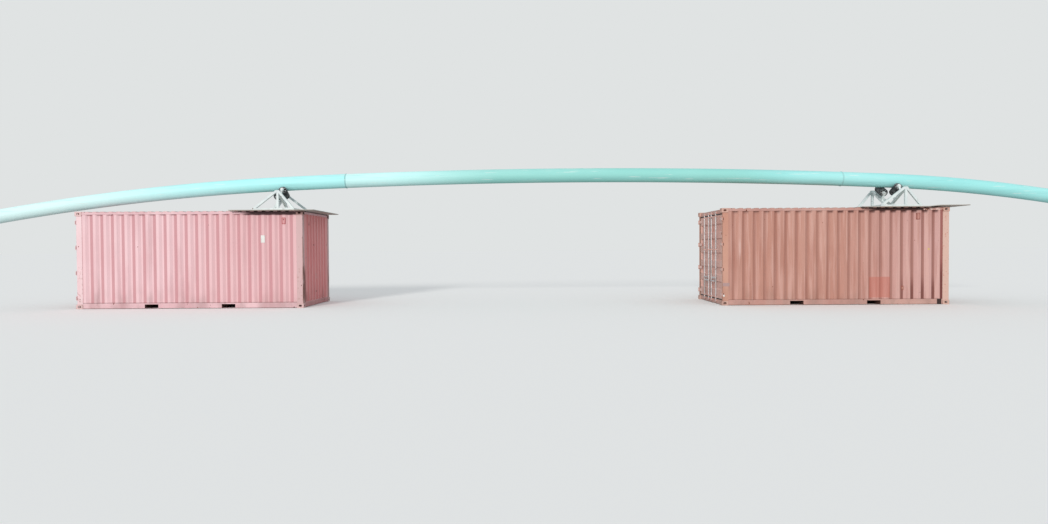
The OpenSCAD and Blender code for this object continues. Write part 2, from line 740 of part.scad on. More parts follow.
module right_far_outer_rod() { color("silver") at_right_box() far_side() lock_rod(rod_out, 1); }
module right_far_inner_rod() { color("silver") at_right_box() far_side() lock_rod(inner_rod_y, -1); }

pipe_left_length();
pipe_middle_length();
pipe_right_length();
left_boards();
right_boards();
left_stand_base();
left_stand_front_frame();
left_stand_rear_frame();
left_stand_roller_beams();
left_stand_front_roller();
left_stand_rear_roller();
right_stand_base();
right_stand_front_frame();
right_stand_rear_frame();
right_stand_roller_beams();
right_stand_front_roller();
right_stand_rear_roller();
left_castings();
left_posts();
left_rails();
left_keepers();
left_near_wall();
left_far_wall();
left_end_wall();
left_roof();
left_floor();
left_cross_members();
left_doors();
left_lock_rods();
right_castings();
right_posts();
right_rails();
right_keepers();
right_near_wall();
right_far_wall();
right_end_wall();
right_roof();
right_floor();
right_cross_members();
right_near_door();
right_far_door();
right_near_outer_rod();
right_near_inner_rod();
right_far_outer_rod();
right_far_inner_rod();
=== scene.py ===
import json
import math

import bmesh
import bpy
from mathutils import Matrix, Vector


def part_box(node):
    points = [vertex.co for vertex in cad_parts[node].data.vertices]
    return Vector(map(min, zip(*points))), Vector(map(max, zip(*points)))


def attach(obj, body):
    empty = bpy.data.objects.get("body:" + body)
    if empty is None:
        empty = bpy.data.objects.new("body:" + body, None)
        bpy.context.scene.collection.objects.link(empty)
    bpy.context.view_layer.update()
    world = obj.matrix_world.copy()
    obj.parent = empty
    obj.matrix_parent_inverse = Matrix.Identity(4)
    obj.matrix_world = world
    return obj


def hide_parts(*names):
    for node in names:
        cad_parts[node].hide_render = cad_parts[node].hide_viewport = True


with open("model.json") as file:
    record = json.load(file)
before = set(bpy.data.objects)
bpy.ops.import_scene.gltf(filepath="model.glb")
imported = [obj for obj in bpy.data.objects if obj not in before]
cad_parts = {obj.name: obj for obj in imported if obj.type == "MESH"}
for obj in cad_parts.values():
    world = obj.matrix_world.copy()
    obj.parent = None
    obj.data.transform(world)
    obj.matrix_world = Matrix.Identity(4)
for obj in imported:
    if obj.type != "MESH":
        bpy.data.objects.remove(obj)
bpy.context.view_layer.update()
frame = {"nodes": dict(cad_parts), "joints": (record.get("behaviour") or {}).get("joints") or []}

# Camera, as it stood for the photograph
LENS = 23.31
SENSOR = 36.0
CAMERA_HEIGHT = 1.52
CAMERA_DISTANCE = 18.04
PITCH = -1.05
ROLL = -0.33
VIEW_REACH = 2000

# Floor: half its width, its colour as it lights the object, and its colour to the camera
FLOOR_REACH = 600.0
FLOOR = (196, 196, 194)
FLOOR_SHOWN = (250, 250, 249)

# Surround, as the camera sees it: what the lit floor comes out as, so that no horizon shows
SURROUND = (224, 227, 227)

# Light: the way to the key light, its strength, softness and colour, and the surround's light
KEY = (-0.28, -0.9, 0.3)
KEY_STRENGTH = 1.8
KEY_ANGLE = 10
KEY_COLOUR = (1.0, 0.98, 0.94)
AMBIENT = 0.65
AMBIENT_COLOUR = (0.93, 0.97, 1.0, 1.0)

# Lines of the frame that the looks are placed by
BODY = "bridge"
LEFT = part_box("left_castings")
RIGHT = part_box("right_castings")
NEAR = LEFT[0].y
FAR = LEFT[1].y
MIDDLE = (NEAR + FAR) / 2
BOX_TOP = LEFT[1].z
SIDE = {"left": LEFT, "right": RIGHT}
BEYOND = 50.0
SPINS = {joint["child"]: joint for joint in frame["joints"]}

# Corrugation of the side walls: first outer flat's middle from the container's end, and the pitch
FIRST_FLAT = 0.229
FLAT_PITCH = 0.28

# Painted shade beside each outer flat, on the slope turned from the light and the groove next to
# it: its start from the flat's middle, and its width
SHADED_SLOPE_START = 0.036
SHADED_SLOPE_WIDTH = 0.098


def srgb(red, green, blue):
    """A colour written 0 to 255, as it shows, turned into the shader's linear one."""
    def linear(part):
        part /= 255
        return part / 12.92 if part <= 0.04045 else ((part + 0.055) / 1.055) ** 2.4
    return (linear(red), linear(green), linear(blue), 1.0)


RUST = srgb(134, 74, 48)
DARK_RUST = srgb(84, 44, 32)
DIRT = srgb(104, 88, 78)
# Colour of painted shade
SHADE = srgb(84, 60, 58)


class Finish:
    """A material as it is built up: the shader, and its colour, roughness and normal so far."""

    def __init__(self, name, colour, roughness=0.5, metallic=0.0, specular=0.5):
        self.material = bpy.data.materials.new(name)
        self.material.use_nodes = True
        self.nodes = self.material.node_tree.nodes
        self.links = self.material.node_tree.links
        self.shader = self.nodes["Principled BSDF"]
        self.shader.inputs["Metallic"].default_value = metallic
        self.shader.inputs["Specular IOR Level"].default_value = specular
        self.place = self.node("ShaderNodeTexCoord").outputs["Object"]
        self.parts = self.node("ShaderNodeSeparateXYZ", ((0, self.place),))
        self.colour = colour
        self.roughness = roughness
        self.normal = None

    def node(self, kind, values=(), **settings):
        """New node, with its inputs set or linked and its settings made."""
        made = self.nodes.new(kind)
        for key, value in settings.items():
            setattr(made, key, value)
        for socket, value in values:
            self.put(made.inputs[socket], value)
        return made

    def put(self, socket, value):
        if isinstance(value, bpy.types.NodeSocket):
            self.links.new(value, socket)
        else:
            socket.default_value = value

    def number(self, operation, a, b=0.0):
        """One number worked out of two."""
        return self.node("ShaderNodeMath", ((0, a), (1, b)), operation=operation).outputs[0]

    def vector(self, operation, *values):
        """Node that works on vectors; its output 0 is a vector, and Value a number."""
        return self.node("ShaderNodeVectorMath", enumerate(values), operation=operation)

    def times(self, *masks):
        """Product of masks, which is 1 where all of them are."""
        result = masks[0]
        for mask in masks[1:]:
            result = self.number("MULTIPLY", result, mask)
        return result

    def ramp(self, value, low, high):
        """0 at low and 1 at high, smooth between; low may be the larger."""
        return self.node("ShaderNodeMapRange", ((0, value), (1, low), (2, high)),
                         interpolation_type="SMOOTHSTEP").outputs[0]

    def axis(self, name):
        return self.parts.outputs[name]

    def span(self, axis, low, high, soft=0.01):
        """1 from low to high along an axis, fading out over soft."""
        place = self.axis(axis)
        return self.times(self.ramp(place, low - soft, low),
                          self.ramp(place, high + soft, high))

    def patch(self, x, z, soft, y=(-BEYOND, MIDDLE)):
        """1 in a box that is soft at its edges, on the near half unless y says otherwise."""
        return self.times(self.span("X", *x, soft), self.span("Y", *y, soft),
                          self.span("Z", *z, soft))

    def apart(self, axis, centre):
        """Distance from a plane, on either side of it."""
        return self.number("ABSOLUTE", self.number("SUBTRACT", self.axis(axis), centre))

    def radius(self, centre, direction):
        """Distance from a line through centre along direction."""
        away = self.vector("SUBTRACT", self.place, centre).outputs[0]
        across = self.vector("CROSS_PRODUCT", away, direction).outputs[0]
        return self.vector("LENGTH", across).outputs["Value"]

    def along(self, centre, direction):
        """Distance from a point, measured along direction, either way."""
        away = self.vector("SUBTRACT", self.place, centre).outputs[0]
        return self.number("ABSOLUTE", self.vector("DOT_PRODUCT", away, direction).outputs["Value"])

    def noise(self, scale, low, high, stretch=(1, 1, 1), detail=4.0, seed=0.0):
        """Patches, scale of them to a metre, longer along an axis by its stretch."""
        shrink = tuple(1 / part for part in stretch)
        place = self.node("ShaderNodeMapping",
                          ((0, self.place), (1, (seed, seed, seed)), (3, shrink))).outputs[0]
        value = self.node("ShaderNodeTexNoise",
                          (("Vector", place), ("Scale", scale), ("Detail", detail))).outputs[0]
        return self.ramp(value, low, high)

    def shaded_slopes(self, side, towards):
        """1 on the slope beside each outer flat of a side wall, towards one way along X: where
        shade is painted.
        """
        start = SIDE[side][0].x + FIRST_FLAT - FLAT_PITCH / 2
        place = self.number("SUBTRACT", self.axis("X"), start)
        within = self.number("FLOORED_MODULO", place, FLAT_PITCH)
        away = self.times(self.number("SUBTRACT", within, FLAT_PITCH / 2), towards)
        end = SHADED_SLOPE_START + SHADED_SLOPE_WIDTH
        return self.times(self.ramp(away, SHADED_SLOPE_START - 0.006, SHADED_SLOPE_START + 0.006),
                          self.ramp(away, end + 0.012, end - 0.008))

    def edges(self, radius):
        """Rounds the look of the edges and gives 1 along them."""
        rounded = self.node("ShaderNodeBevel", (("Radius", radius),), samples=6).outputs[0]
        true = self.node("ShaderNodeNewGeometry").outputs["Normal"]
        same = self.vector("DOT_PRODUCT", rounded, true).outputs["Value"]
        self.normal = rounded
        return self.ramp(same, 0.99, 0.86)

    def tint(self, colour, mask, strength=1.0):
        """Lays a colour over what is there, as far as mask and strength say."""
        if strength != 1.0:
            mask = self.times(mask, strength)
        mix = self.node("ShaderNodeMix", ((0, mask), (6, self.colour), (7, colour)),
                        data_type="RGBA")
        self.colour = mix.outputs[2]

    def rough(self, value, mask):
        mix = self.node("ShaderNodeMix", ((0, mask), (2, self.roughness), (3, value)))
        self.roughness = mix.outputs[0]

    def bump(self, height, distance, strength=1.0):
        values = [("Height", height), ("Distance", distance), ("Strength", strength)]
        if self.normal:
            values.append(("Normal", self.normal))
        self.normal = self.node("ShaderNodeBump", values).outputs["Normal"]

    def rust(self, mask):
        """Rough rust in two browns, standing a little proud."""
        self.tint(RUST, mask)
        self.tint(DARK_RUST, self.times(mask, self.noise(30, 0.45, 0.6)))
        self.rough(0.9, mask)
        self.bump(mask, 0.002, 0.5)

    def done(self):
        """Links what was built up to the shader and gives the material."""
        self.put(self.shader.inputs["Base Color"], self.colour)
        self.put(self.shader.inputs["Roughness"], self.roughness)
        if self.normal:
            self.put(self.shader.inputs["Normal"], self.normal)
        return self.material


class ContainerPaint(Finish):
    """A container's paint, with the colours that it fades and darkens to, which also serve as its
    painted light and painted shade.
    """

    def __init__(self, name, colours):
        colour, self.faded, self.deep_and_shade = [srgb(*part) for part in colours]
        super().__init__(name, colour, 0.6, specular=0.35)


def circle(centre, aside, up, radius, count):
    """That many points round centre, in the plane of aside and up."""
    turns = [2 * math.pi * k / count for k in range(count)]
    return [centre + radius * (math.cos(turn) * aside + math.sin(turn) * up) for turn in turns]


class Piece:
    """A mesh as it is put together, in metres in the frame."""

    def __init__(self, name):
        self.name = name
        self.mesh = bmesh.new()

    def bevel(self, verts, width, segments=1):
        edges = list(dict.fromkeys(edge for vert in verts for edge in vert.link_edges))
        bmesh.ops.bevel(self.mesh, geom=edges, offset=width, segments=segments,
                        affect="EDGES", profile=0.5)

    def block(self, low, high, bevel=0.0):
        """Box between two corners, with its edges rounded where bevel is given."""
        low, high = Vector(low), Vector(high)
        size = [abs(part) for part in high - low]
        place = Matrix.Translation((low + high) / 2) @ Matrix.Diagonal((*size, 1.0))
        verts = bmesh.ops.create_cube(self.mesh, size=1.0, matrix=place)["verts"]
        if bevel:
            self.bevel(verts, bevel, 2)

    def bar(self, start, along, radius, length, sides=20, bevel=0.0):
        """Round or many-sided bar from start, length long."""
        along = Vector(along).normalized()
        turn = along.to_track_quat("Z", "Y").to_matrix().to_4x4()
        place = Matrix.Translation(Vector(start) + along * length / 2) @ turn
        verts = bmesh.ops.create_cone(
            self.mesh, cap_ends=True, segments=sides, radius1=radius, radius2=radius,
            depth=length, matrix=place)["verts"]
        if bevel:
            self.bevel(verts, bevel)

    def bolt(self, start, along, size):
        """Washer, hexagon head of that radius and the point of its thread."""
        self.bar(start, along, 1.4 * size, 0.2 * size)
        self.bar(start, along, size, 0.95 * size, sides=6, bevel=0.1 * size)
        self.bar(start, along, 0.5 * size, 1.25 * size, sides=12, bevel=0.08 * size)

    def rivet(self, start, along, size):
        self.bar(start, along, size, 0.5 * size, sides=12, bevel=0.3 * size)

    def frame(self, x, outer, inner, bevel):
        """Flat frame between two planes of X, from an outer to an inner rectangle of Y and Z."""
        rings = []
        for plane in x:
            for y, z in (outer, inner):
                corners = ((y[0], z[0]), (y[1], z[0]), (y[1], z[1]), (y[0], z[1]))
                rings.append(self.ring((plane, *corner) for corner in corners))
        for a, b in ((0, 1), (1, 3), (3, 2), (2, 0)):
            self.join(rings[a], rings[b])
        self.bevel([vert for ring in rings for vert in ring], bevel)

    def ring(self, places):
        return [self.mesh.verts.new(place) for place in places]

    def join(self, first, second):
        """Faces between two closed rings of as many points."""
        for i in range(len(first)):
            after = (i + 1) % len(first)
            self.mesh.faces.new((first[i], first[after], second[after], second[i]))

    def close(self, rings):
        """Faces along a chain of rings that meets its own start."""
        for first, second in zip(rings, rings[1:] + rings[:1]):
            self.join(first, second)

    def bead(self, corners, radius):
        """Weld bead along the straight runs round a closed outline, rippled as it was laid."""
        step, sides = 0.006, 6
        points = []
        for a, b in zip(corners, corners[1:] + corners[:1]):
            count = max(2, round((b - a).length / step))
            points += [a.lerp(b, i / count) for i in range(count)]
        rings = []
        for i, point in enumerate(points):
            along = points[(i + 1) % len(points)] - points[i - 1]
            aside = along.cross(Vector((0.0, 0.0, 1.0))).normalized()
            up = aside.cross(along).normalized()
            size = radius * (1.2 if i % 2 else 0.95)
            rings.append(self.ring(circle(point, aside, up, size, sides)))
        self.close(rings)

    def done(self, material, slot, body=BODY, smooth=False):
        """Makes the object, which rides on body; slot is not used."""
        bmesh.ops.recalc_face_normals(self.mesh, faces=self.mesh.faces)
        mesh = bpy.data.meshes.new(self.name)
        self.mesh.to_mesh(mesh)
        self.mesh.free()
        for polygon in mesh.polygons:
            polygon.use_smooth = smooth
        mesh.materials.append(material)
        made = bpy.data.objects.new(self.name, mesh)
        bpy.context.scene.collection.objects.link(made)
        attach(made, body)
        return made


def solids_of(node):
    """Lowest and highest corner of each separate solid in a node, from left to right."""
    mesh = frame["nodes"][node].data
    places = [tuple(round(part, 4) for part in vert.co) for vert in mesh.vertices]
    leader = {place: place for place in places}

    def lead(place):
        while leader[place] != place:
            place = leader[place]
        return place

    for polygon in mesh.polygons:
        first = lead(places[polygon.vertices[0]])
        for index in polygon.vertices[1:]:
            leader[lead(places[index])] = first
    solids = {}
    for place in leader:
        solids.setdefault(lead(place), []).append(place)
    return sorted(([min(part) for part in zip(*group)], [max(part) for part in zip(*group)])
                  for group in solids.values())


def container_paint(name, colours, wear=1.0, marks=None, edge=0.0):
    """Faded container paint: bleached patches, soft rain streaks, low dirt, chips of rust.

    More wear brings more rust, marks adds what one part of a container has, and edge is the
    rounding of the edges, which rust first.
    """
    paint = ContainerPaint(name, colours)
    worn = paint.edges(edge) if edge else None
    paint.tint(paint.faded, paint.noise(0.6, 0.35, 0.7, detail=3), 0.6)
    paint.tint(paint.faded, paint.noise(4, 0.45, 0.7, stretch=(1, 1, 10), seed=3), 0.3)
    paint.tint(paint.deep_and_shade, paint.noise(3, 0.5, 0.75, stretch=(1, 1, 8), seed=7), 0.35)
    paint.tint(DIRT, paint.noise(8, 0.58, 0.78, stretch=(1, 1, 20), seed=11), 0.18)
    low = paint.ramp(paint.axis("Z"), 0.7, 0.1)
    low_dirt = paint.times(low, paint.noise(3, 0.35, 0.7, stretch=(1, 1, 2), seed=5))
    paint.tint(DIRT, low_dirt, 0.28)
    if marks:
        marks(paint)
    if worn:
        paint.rust(paint.times(worn, paint.noise(15, 0.5, 0.6, detail=6, seed=31)))
    start = 0.7 - 0.018 * wear
    paint.rust(paint.noise(11, start, start + 0.03, stretch=(1, 1, 1.6), detail=6, seed=17))
    paint.bump(paint.noise(1.6, 0.3, 0.7, detail=2, seed=21), 0.01, 0.3)
    return paint.done()


def steel_paint(name, colour, shade, wear):
    """Paint on plain steel, with grime in runs and rust where it is chipped."""
    paint = Finish(name, colour, 0.42)
    worn = paint.edges(0.003)
    paint.tint(shade, paint.noise(3, 0.4, 0.7, detail=5))
    paint.tint(DIRT, paint.noise(14, 0.55, 0.75, stretch=(1, 1, 6), seed=4), 0.35)
    paint.rust(paint.times(worn, paint.noise(18, 0.54, 0.62, detail=6, seed=13)))
    paint.rust(paint.noise(16, 0.7 - wear, 0.73 - wear, detail=6, seed=9))
    paint.bump(paint.noise(60, 0.3, 0.7, seed=2), 0.0006, 0.3)
    return paint.done()


def galvanised(name):
    """Zinc with pale flakes, dull runs and a little rust."""
    zinc = Finish(name, srgb(196, 192, 194), 0.45, metallic=0.3)
    zinc.tint(srgb(222, 218, 220), zinc.noise(24, 0.42, 0.6, detail=2))
    zinc.tint(srgb(140, 134, 126), zinc.noise(7, 0.5, 0.75, stretch=(1, 1, 5), seed=6), 0.6)
    zinc.rust(zinc.noise(18, 0.66, 0.7, stretch=(1, 1, 3), seed=12))
    return zinc.done()


def bare_plate(name, colour):
    """Plain plate with nothing on it but scratches and stains."""
    plate = Finish(name, colour, 0.5)
    plate.tint(srgb(150, 146, 142), plate.noise(22, 0.5, 0.75, stretch=(1, 1, 4), seed=3), 0.5)
    plate.tint(DIRT, plate.noise(60, 0.62, 0.7, detail=6, seed=8), 0.6)
    plate.bump(plate.noise(90, 0.4, 0.6), 0.0003, 0.4)
    return plate.done()


def pipe_plastic(name, colour, shade, light_ramps=()):
    """Pressure pipe: each length painted lighter from one X to another where more light fell on it,
    long streaks and scuffs along it.
    """
    plastic = Finish(name, colour, 0.5, specular=0.2)
    # Painted light: lighter towards where more light fell
    for faded, start, end in light_ramps:
        plastic.tint(faded, plastic.ramp(plastic.axis("X"), start, end))
    plastic.tint(srgb(216, 252, 252), plastic.noise(1.2, 0.4, 0.65, stretch=(5, 1, 1)), 0.2)
    plastic.tint(shade, plastic.noise(5, 0.52, 0.72, stretch=(14, 1, 1), seed=5), 0.3)
    plastic.tint(shade, plastic.noise(22, 0.6, 0.7, stretch=(30, 1, 1), seed=8), 0.3)
    scuffs = plastic.noise(26, 0.64, 0.68, stretch=(22, 1, 1), detail=6, seed=14)
    plastic.tint(srgb(226, 240, 238), scuffs, 0.6)
    plastic.rough(0.6, scuffs)
    plastic.bump(scuffs, -0.0008, 0.4)
    return plastic.done()


def weathered_plywood(name):
    """Grey plywood: grain across the container, damp stains, and plies on the cut edges."""
    plies = 7
    wood = Finish(name, srgb(198, 192, 182), 0.75, specular=0.25)
    wood.tint(srgb(190, 190, 186), wood.noise(1.5, 0.38, 0.62, detail=5))
    lines = wood.noise(60, 0.42, 0.62, stretch=(1, 20, 1), detail=6, seed=4)
    wood.tint(srgb(150, 140, 124), lines, 0.4)
    wood.tint(DIRT, wood.noise(2.4, 0.55, 0.72, seed=9), 0.4)
    across = wood.node("ShaderNodeAttribute", attribute_name=PLY).outputs["Fac"]
    wave = wood.number("SINE", wood.times(across, plies * math.pi))
    wood.tint(srgb(118, 92, 70), wood.ramp(wave, 0.2, 0.7), 0.7)
    wood.bump(lines, 0.001, 0.5)
    return wood.done()


def planked(name):
    """Floor planks along the container, with a dark joint between them."""
    plank = 0.14
    wood = Finish(name, srgb(142, 104, 74), 0.75, specular=0.25)
    wood.tint(srgb(126, 104, 86), wood.noise(1.5, 0.38, 0.62, detail=5))
    lines = wood.noise(60, 0.42, 0.62, stretch=(20, 1, 1), detail=6, seed=4)
    wood.tint(srgb(84, 58, 40), lines, 0.5)
    across = wood.number("PINGPONG", wood.axis("Y"), plank / 2)
    joint = wood.ramp(across, 0.005, 0.001)
    wood.tint(srgb(40, 30, 24), joint)
    wood.bump(joint, -0.003, 0.6)
    return wood.done()


def seal_rubber(name):
    """Dark rubber with grey dust on it."""
    strip = Finish(name, srgb(44, 44, 46), 0.7, specular=0.3)
    strip.tint(srgb(104, 104, 102), strip.noise(8, 0.45, 0.7, detail=5), 0.5)
    strip.bump(strip.noise(80, 0.3, 0.7), 0.0006, 0.4)
    return strip.done()


def roller_finish(name, spin):
    """Dark scuffed tyre, grey spokes, pale hub, and behind them a hollow in painted shade, with
    grime.
    """
    roller = Finish(name, srgb(52, 54, 58), 0.6, specular=0.35)
    roller.tint(srgb(96, 98, 100), roller.noise(8, 0.45, 0.7, detail=5))
    roller.tint(srgb(140, 140, 138), roller.noise(20, 0.6, 0.72, seed=6), 0.5)
    away = roller.radius(spin["pos_m"], spin["axis"])
    inside = roller.ramp(away, ROLLER_CORE + 0.0015, ROLLER_CORE + 0.0005)
    # Painted shade in the hollow and on the spokes' sides; only the spokes' front faces keep their
    # grey
    roller.tint(srgb(70, 74, 78), inside)
    along = roller.along(spin["pos_m"], spin["axis"])
    front = roller.times(inside, roller.ramp(along, SPOKE_FACE - 0.025, SPOKE_FACE - 0.002))
    roller.tint(srgb(176, 182, 184), front)
    roller.tint(srgb(232, 234, 232), roller.times(front, roller.ramp(away, HUB + 0.008, HUB)))
    roller.tint(DIRT, roller.times(inside, roller.noise(16, 0.5, 0.7, seed=3)), 0.4)
    roller.rust(roller.times(inside, roller.noise(20, 0.62, 0.66, detail=6, seed=15)))
    roller.bump(roller.noise(80, 0.3, 0.7), 0.0006, 0.4)
    return roller.done()


def assign(material, *nodes):
    """Gives CAD nodes a material."""
    for name in nodes:
        for part in frame["nodes"][name].material_slots:
            part.material = material


# Doors, from the outer corner at the foot of the door end: the leaf
LEAF_FACE = 0.048
LEAF_Y = (0.108, 1.215)
LEAF_Z = (0.138, 2.453)

# Hinges: their heights, their blades' face, and the places and the head of the blades' bolts
HINGE_Z = [0.288 + 0.6717 * i for i in range(4)]
BLADE_FACE = 0.040
BLADE_BOLTS = (0.155, 0.235)
BLADE_STEP = 0.020
BLADE_HEAD = 0.009

# Lock rods and the guides that they turn in
ROD_Y = (0.640, 1.080)
GUIDE_Z = (0.183, 1.492, 2.408)

# Guide plate: half its width and height, its thickness, and its bolts' distance and head
GUIDE_PLATE = (0.052, 0.019)
GUIDE_THICK = 0.003
GUIDE_BOLT = 0.040
GUIDE_HEAD = 0.007

# Catches: their outer face, where the handles cross them in Y and Z, and their bolts' head
HANDLE_FACE = -0.002
HANDLES = (((0.895, 0.940), (0.695, 0.725)), ((0.780, 0.825), (0.605, 0.635)))
CATCH_HEAD = 0.006

# Rounding of small plates' edges
EDGE = 0.001

# Painted shadow of the boards: from where to where along X, and down to what height on the near
# side
BOARD_SHADOW = {"left": ((-7.3, -6.05), 2.49), "right": ((9.3, 10.6), 2.515)}

# Marks on the left container's closed end: the stains in Y, the thin one and the scuff in Z too
THIN_STAIN = ((NEAR, NEAR + 0.2), (0.1, 0.75))
WIDE_STAIN = (NEAR, -0.86)
SCUFF = ((0.0, 0.12), (0.74, 0.87))

# Where the near walls' colour changes, from the first X to the second
WALL_CHANGE = {"left": (-9.8, -7.4), "right": (8.0, 10.9)}

# Marks on the right near wall, in X: where the painted shade under the top rail is darkest, where
# the painted shade on the slopes darkens low down, and the last groove
NOTCH_SHADE = (8.3, 10.9)
LOW_SLOPE_SHADE = (10.1, 10.95)
LAST_GROOVE = (11.075, 11.14)

# Marks on the right container's near wall, rails and posts, in X and Z
REPAINT = ((9.2, 9.74), (0.2, 0.73))
RUST_SPOT = ((10.08, 10.10), (0.41, 0.47))
SPOT_MIDDLE = ((10.085, 10.095), (0.43, 0.45))
WORN_STREAK = ((5.74, 5.755), (1.46, 1.6))
WORN_SPOT = ((10.755, 10.785), (1.46, 1.49))
# Painted shade in the gap at the end of the bottom rail
RAIL_GAP_SHADE = ((10.995, 11.105), (0.0, 0.15))
BARE_RAIL = ((10.45, 11.05), (2.49, 2.56))
TORN_PAINT = ((10.67, 10.79), (2.515, 2.565))

# Painted shade of the slots beside the hinges, in X
HINGE_SLOT_SHADE = (5.297, 5.309)


def sunk(paint, place, node, axis):
    """1 at the bottom of a wall's corrugation and 0 on its outer flats."""
    low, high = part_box(node)
    outer, inner = (MIDDLE - low.y, MIDDLE - high.y) if axis == "Y" else (high.x, low.x)
    return paint.ramp(place, outer - 0.005, inner + 0.008)


def board_shadow(paint, side):
    """Painted shadow of the boards on the top of the near side, where they stand out over it."""
    (start, end), foot = BOARD_SHADOW[side]
    place = paint.axis("X")
    ends = paint.times(paint.ramp(place, start - 0.35, start + 0.1),
                       paint.ramp(place, end + 0.04, end))
    near = paint.times(paint.ramp(paint.axis("Z"), foot - 0.03, foot + 0.01),
                       paint.ramp(paint.axis("Y"), MIDDLE, NEAR))
    shade = paint.times(ends, near)
    # Painted shadow of the boards, dark red-brown
    paint.tint(srgb(34, 10, 12), shade, 0.92)
    paint.rough(1.0, shade)


def closed_half(paint, side):
    """1 on the half of a container that has the closed end."""
    low, high = SIDE[side]
    centre = (low.x + high.x) / 2
    return paint.ramp(paint.axis("X"), centre, centre + 0.1)


def left_wall_marks(paint):
    """Redder towards the closed end, with painted shade on the slopes, along the foot and in the
    grooves' tops, and the boards' painted shadow.
    """
    grooves = sunk(paint, paint.apart("Y", MIDDLE), "left_near_wall", "Y")
    paint.tint(srgb(226, 174, 176), paint.ramp(paint.axis("X"), *WALL_CHANGE["left"]), 0.5)
    # Painted shade on the slope turned from the light and the groove beside it
    paint.tint(paint.deep_and_shade, paint.shaded_slopes("left", -1), 0.8)
    # Painted shade along the foot of the wall, above the bottom rail
    paint.tint(SHADE, paint.span("Z", 0.0, 0.16, 0.012), 0.45)
    # Painted shade in the grooves' tops, under the top rail
    paint.tint(SHADE, paint.times(grooves, paint.ramp(paint.axis("Z"), 2.46, 2.5)), 0.35)
    board_shadow(paint, "left")


def right_wall_marks(paint):
    """Pinker towards the closed end, streaked, with painted shade on the slopes, in the grooves'
    tops and along the foot, the boards' painted shadow, and a few spots.
    """
    grooves = sunk(paint, paint.apart("Y", MIDDLE), "right_near_wall", "Y")
    onward = paint.ramp(paint.axis("X"), *WALL_CHANGE["right"])
    paint.tint(srgb(208, 164, 160), onward, 0.8)
    paint.tint(srgb(222, 180, 170),
               paint.noise(14, 0.47, 0.62, stretch=(1, 1, 25), seed=71), 0.4)
    paint.tint(srgb(168, 108, 94),
               paint.noise(9, 0.5, 0.68, stretch=(1, 1, 16), seed=73), 0.4)
    shaded_slopes = paint.shaded_slopes("right", 1)
    # Painted shade on the slopes, stronger towards the closed end
    paint.tint(paint.deep_and_shade, shaded_slopes, 0.5)
    paint.tint(srgb(150, 98, 90), paint.times(shaded_slopes, onward), 0.55)
    # Painted shade in the grooves' tops under the top rail, darkest in one stretch along X
    notch_shade = paint.times(grooves, paint.ramp(paint.axis("Z"), 2.42, 2.49))
    paint.tint(SHADE, notch_shade, 0.35)
    darker = paint.times(notch_shade, paint.span("X", *NOTCH_SHADE, 0.3))
    paint.tint(srgb(74, 26, 24), darker, 0.75)
    last = paint.span("X", *LAST_GROOVE)
    paint.tint(srgb(148, 82, 76), last, 0.85)
    paint.tint(srgb(92, 38, 36), paint.times(last, paint.ramp(paint.axis("Z"), 1.3, 0.7)), 0.7)
    # Painted shade on the slopes, darker low down towards the closed end
    low_shaded_slopes = paint.times(shaded_slopes, paint.ramp(paint.axis("Z"), 0.85, 0.35),
                              paint.span("X", *LOW_SLOPE_SHADE, 0.1))
    paint.tint(srgb(104, 50, 42), low_shaded_slopes, 0.65)
    # Painted shade along the foot of the wall, above the bottom rail
    paint.tint(SHADE, paint.span("Z", 0.0, 0.158, 0.01), 0.35)
    paint.tint(srgb(192, 112, 98), paint.patch(*REPAINT, 0.02), 0.6)
    paint.tint(srgb(150, 84, 66), paint.patch(*RUST_SPOT, 0.05), 0.8)
    paint.tint(srgb(214, 166, 150), paint.patch(*SPOT_MIDDLE, 0.02), 0.7)
    worn = paint.times(paint.span("X", *WORN_STREAK[0], 0.035),
                       paint.span("Z", *WORN_STREAK[1], 0.25))
    paint.tint(srgb(224, 190, 182), worn, 0.5)
    paint.tint(srgb(214, 190, 96), paint.patch(*WORN_SPOT, 0.012), 0.8)
    board_shadow(paint, "right")


def left_end_marks(paint):
    """Painted light in the grooves, the dark stain low beside the near post, a scuff, and a paler
    top half.
    """
    # Painted light: the grooves lightened against their shade
    paint.tint(srgb(250, 182, 182), sunk(paint, paint.axis("X"), "left_end_wall", "X"), 0.5)
    up = paint.axis("Z")
    thin = paint.times(paint.span("Y", *THIN_STAIN[0], 0.06), paint.span("Z", *THIN_STAIN[1], 0.4),
                       paint.noise(5, 0.25, 0.5, stretch=(1, 1, 3), seed=47))
    wide = paint.times(paint.span("Y", *WIDE_STAIN, 0.15), paint.ramp(up, 0.6, 0.2),
                       paint.noise(6, 0.35, 0.55, seed=47))
    paint.tint(srgb(112, 48, 42), thin, 0.85)
    paint.tint(srgb(128, 58, 52), wide, 0.6)
    scuff = paint.times(paint.span("Y", *SCUFF[0], 0.03), paint.span("Z", *SCUFF[1], 0.02),
                        paint.noise(30, 0.4, 0.55, seed=49))
    paint.tint(srgb(226, 196, 190), scuff, 0.7)
    paint.tint(paint.faded, paint.ramp(up, BOX_TOP / 2, BOX_TOP), 0.2)


def right_end_shade(paint):
    """Painted shade in the grooves."""
    paint.tint(paint.deep_and_shade, sunk(paint, paint.axis("X"), "right_end_wall", "X"), 0.5)


def left_rail_marks(paint):
    """Painted shadow of the boards, and a stronger red on the closed end's bottom rail."""
    board_shadow(paint, "left")
    end = LEFT[1].x - 0.18
    foot = paint.times(paint.ramp(paint.axis("X"), end, end + 0.01),
                       paint.ramp(paint.axis("Z"), 0.2, 0.1))
    paint.tint(srgb(176, 92, 88), foot, 0.6)


